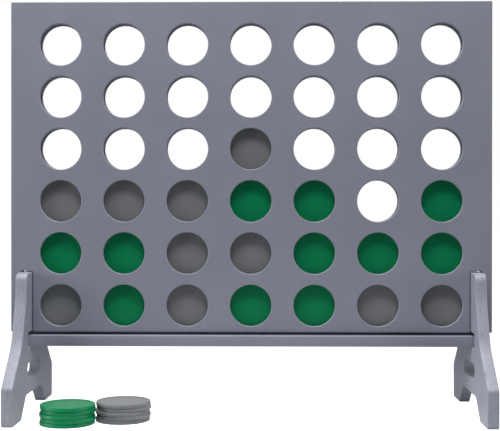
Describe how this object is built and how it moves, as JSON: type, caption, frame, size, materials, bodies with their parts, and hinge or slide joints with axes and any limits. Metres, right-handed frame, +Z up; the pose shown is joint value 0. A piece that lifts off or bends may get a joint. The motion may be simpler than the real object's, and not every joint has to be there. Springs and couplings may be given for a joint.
{
  "type": "giant four in a row game",
  "caption": "Large floor-standing board of round windows slotted over two end legs, with a loose rail under its disc channels and round playing discs in play and stacked beside it.",
  "frame": {"origin": "on the ground, at the middle of the board's width and thickness", "axes": "+X along the board to the players' right, +Y from the front to the back, +Z up"},
  "size_m": [0.915, 0.3526, 0.7807],
  "materials": {
    "board_paint": "satin grey paint on board",
    "leg_paint": "satin grey paint on plywood, layers showing through on the edges",
    "disc_green": "satin moulded plastic",
    "disc_grey": "satin moulded plastic",
    "screw_steel": "zinc plated"
  },
  "bodies": {
    "left_leg": {"left_leg": "leg_paint"},
    "right_leg": {"right_leg": "leg_paint"},
    "board": {"front_panel": "board_paint", "back_panel": "board_paint", "left_side_strip": "board_paint", "right_side_strip": "board_paint", "divider_1": "board_paint", "divider_2": "board_paint", "divider_3": "board_paint", "divider_4": "board_paint", "divider_5": "board_paint", "divider_6": "board_paint", "panel_screws": "screw_steel"},
    "rail": {"bottom_rail": "board_paint", "rail_tongue": "board_paint"},
    "disc_a1_grey": {"disc_a1_grey": "disc_grey"},
    "disc_b1_green": {"disc_b1_green": "disc_green"},
    "disc_c1_grey": {"disc_c1_grey": "disc_grey"},
    "disc_d1_green": {"disc_d1_green": "disc_green"},
    "disc_e1_green": {"disc_e1_green": "disc_green"},
    "disc_f1_grey": {"disc_f1_grey": "disc_grey"},
    "disc_g1_grey": {"disc_g1_grey": "disc_grey"},
    "disc_a2_green": {"disc_a2_green": "disc_green"},
    "disc_b2_green": {"disc_b2_green": "disc_green"},
    "disc_c2_grey": {"disc_c2_grey": "disc_grey"},
    "disc_d2_grey": {"disc_d2_grey": "disc_grey"},
    "disc_e2_green": {"disc_e2_green": "disc_green"},
    "disc_f2_green": {"disc_f2_green": "disc_green"},
    "disc_g2_green": {"disc_g2_green": "disc_green"},
    "disc_a3_grey": {"disc_a3_grey": "disc_grey"},
    "disc_b3_grey": {"disc_b3_grey": "disc_grey"},
    "disc_c3_grey": {"disc_c3_grey": "disc_grey"},
    "disc_d3_green": {"disc_d3_green": "disc_green"},
    "disc_e3_green": {"disc_e3_green": "disc_green"},
    "disc_g3_green": {"disc_g3_green": "disc_green"},
    "disc_d4_grey": {"disc_d4_grey": "disc_grey"},
    "stack_green_1": {"stack_green_1": "disc_green"},
    "stack_green_2": {"stack_green_2": "disc_green"},
    "stack_green_3": {"stack_green_3": "disc_green"},
    "stack_green_4": {"stack_green_4": "disc_green"},
    "stack_green_5": {"stack_green_5": "disc_green"},
    "stack_grey_1": {"stack_grey_1": "disc_grey"},
    "stack_grey_2": {"stack_grey_2": "disc_grey"},
    "stack_grey_3": {"stack_grey_3": "disc_grey"},
    "stack_grey_4": {"stack_grey_4": "disc_grey"},
    "stack_grey_5": {"stack_grey_5": "disc_grey"}
  },
  "joints": [
    {"name": "board_lift", "type": "slide", "parent": "left_leg", "child": "board", "axis": [0, 0, 1], "range_m": [0, 0.13]},
    {"name": "rail_slide", "type": "slide", "parent": "left_leg", "child": "rail", "axis": [1, 0, 0], "range_m": [0, 0.885]},
    {"name": "right_leg_slide", "type": "slide", "parent": "left_leg", "child": "right_leg", "axis": [0, 1, 0], "range_m": [-0.016, 0.016]},
    {"name": "disc_a1_grey_lift", "type": "slide", "parent": "board", "child": "disc_a1_grey", "axis": [0, 0, 1], "range_m": [0, 0.635]},
    {"name": "disc_b1_green_lift", "type": "slide", "parent": "board", "child": "disc_b1_green", "axis": [0, 0, 1], "range_m": [0, 0.635]},
    {"name": "disc_c1_grey_lift", "type": "slide", "parent": "board", "child": "disc_c1_grey", "axis": [0, 0, 1], "range_m": [0, 0.635]},
    {"name": "disc_d1_green_lift", "type": "slide", "parent": "board", "child": "disc_d1_green", "axis": [0, 0, 1], "range_m": [0, 0.635]},
    {"name": "disc_e1_green_lift", "type": "slide", "parent": "board", "child": "disc_e1_green", "axis": [0, 0, 1], "range_m": [0, 0.635]},
    {"name": "disc_f1_grey_lift", "type": "slide", "parent": "board", "child": "disc_f1_grey", "axis": [0, 0, 1], "range_m": [0, 0.635]},
    {"name": "disc_g1_grey_lift", "type": "slide", "parent": "board", "child": "disc_g1_grey", "axis": [0, 0, 1], "range_m": [0, 0.635]},
    {"name": "disc_a2_green_lift", "type": "slide", "parent": "disc_a1_grey", "child": "disc_a2_green", "axis": [0, 0, 1], "range_m": [0, 0.536]},
    {"name": "disc_b2_green_lift", "type": "slide", "parent": "disc_b1_green", "child": "disc_b2_green", "axis": [0, 0, 1], "range_m": [0, 0.536]},
    {"name": "disc_c2_grey_lift", "type": "slide", "parent": "disc_c1_grey", "child": "disc_c2_grey", "axis": [0, 0, 1], "range_m": [0, 0.536]},
    {"name": "disc_d2_grey_lift", "type": "slide", "parent": "disc_d1_green", "child": "disc_d2_grey", "axis": [0, 0, 1], "range_m": [0, 0.536]},
    {"name": "disc_e2_green_lift", "type": "slide", "parent": "disc_e1_green", "child": "disc_e2_green", "axis": [0, 0, 1], "range_m": [0, 0.536]},
    {"name": "disc_f2_green_lift", "type": "slide", "parent": "disc_f1_grey", "child": "disc_f2_green", "axis": [0, 0, 1], "range_m": [0, 0.536]},
    {"name": "disc_g2_green_lift", "type": "slide", "parent": "disc_g1_grey", "child": "disc_g2_green", "axis": [0, 0, 1], "range_m": [0, 0.536]},
    {"name": "disc_a3_grey_lift", "type": "slide", "parent": "disc_a2_green", "child": "disc_a3_grey", "axis": [0, 0, 1], "range_m": [0, 0.436]},
    {"name": "disc_b3_grey_lift", "type": "slide", "parent": "disc_b2_green", "child": "disc_b3_grey", "axis": [0, 0, 1], "range_m": [0, 0.436]},
    {"name": "disc_c3_grey_lift", "type": "slide", "parent": "disc_c2_grey", "child": "disc_c3_grey", "axis": [0, 0, 1], "range_m": [0, 0.436]},
    {"name": "disc_d3_green_lift", "type": "slide", "parent": "disc_d2_grey", "child": "disc_d3_green", "axis": [0, 0, 1], "range_m": [0, 0.436]},
    {"name": "disc_e3_green_lift", "type": "slide", "parent": "disc_e2_green", "child": "disc_e3_green", "axis": [0, 0, 1], "range_m": [0, 0.436]},
    {"name": "disc_g3_green_lift", "type": "slide", "parent": "disc_g2_green", "child": "disc_g3_green", "axis": [0, 0, 1], "range_m": [0, 0.436]},
    {"name": "disc_d4_grey_lift", "type": "slide", "parent": "disc_d3_green", "child": "disc_d4_grey", "axis": [0, 0, 1], "range_m": [0, 0.337]},
    {"name": "stack_green_1_lift", "type": "slide", "parent": "left_leg", "child": "stack_green_1", "axis": [0, 0, 1], "range_m": [0, 0.1]},
    {"name": "stack_green_2_lift", "type": "slide", "parent": "stack_green_1", "child": "stack_green_2", "axis": [0, 0, 1], "range_m": [0, 0.1]},
    {"name": "stack_green_3_lift", "type": "slide", "parent": "stack_green_2", "child": "stack_green_3", "axis": [0, 0, 1], "range_m": [0, 0.1]},
    {"name": "stack_green_4_lift", "type": "slide", "parent": "stack_green_3", "child": "stack_green_4", "axis": [0, 0, 1], "range_m": [0, 0.1]},
    {"name": "stack_green_5_lift", "type": "slide", "parent": "stack_green_4", "child": "stack_green_5", "axis": [0, 0, 1], "range_m": [0, 0.1]},
    {"name": "stack_grey_1_lift", "type": "slide", "parent": "left_leg", "child": "stack_grey_1", "axis": [0, 0, 1], "range_m": [0, 0.1]},
    {"name": "stack_grey_2_lift", "type": "slide", "parent": "stack_grey_1", "child": "stack_grey_2", "axis": [0, 0, 1], "range_m": [0, 0.1]},
    {"name": "stack_grey_3_lift", "type": "slide", "parent": "stack_grey_2", "child": "stack_grey_3", "axis": [0, 0, 1], "range_m": [0, 0.1]},
    {"name": "stack_grey_4_lift", "type": "slide", "parent": "stack_grey_3", "child": "stack_grey_4", "axis": [0, 0, 1], "range_m": [0, 0.1]},
    {"name": "stack_grey_5_lift", "type": "slide", "parent": "stack_grey_4", "child": "stack_grey_5", "axis": [0, 0, 1], "range_m": [0, 0.1]}
  ]
}
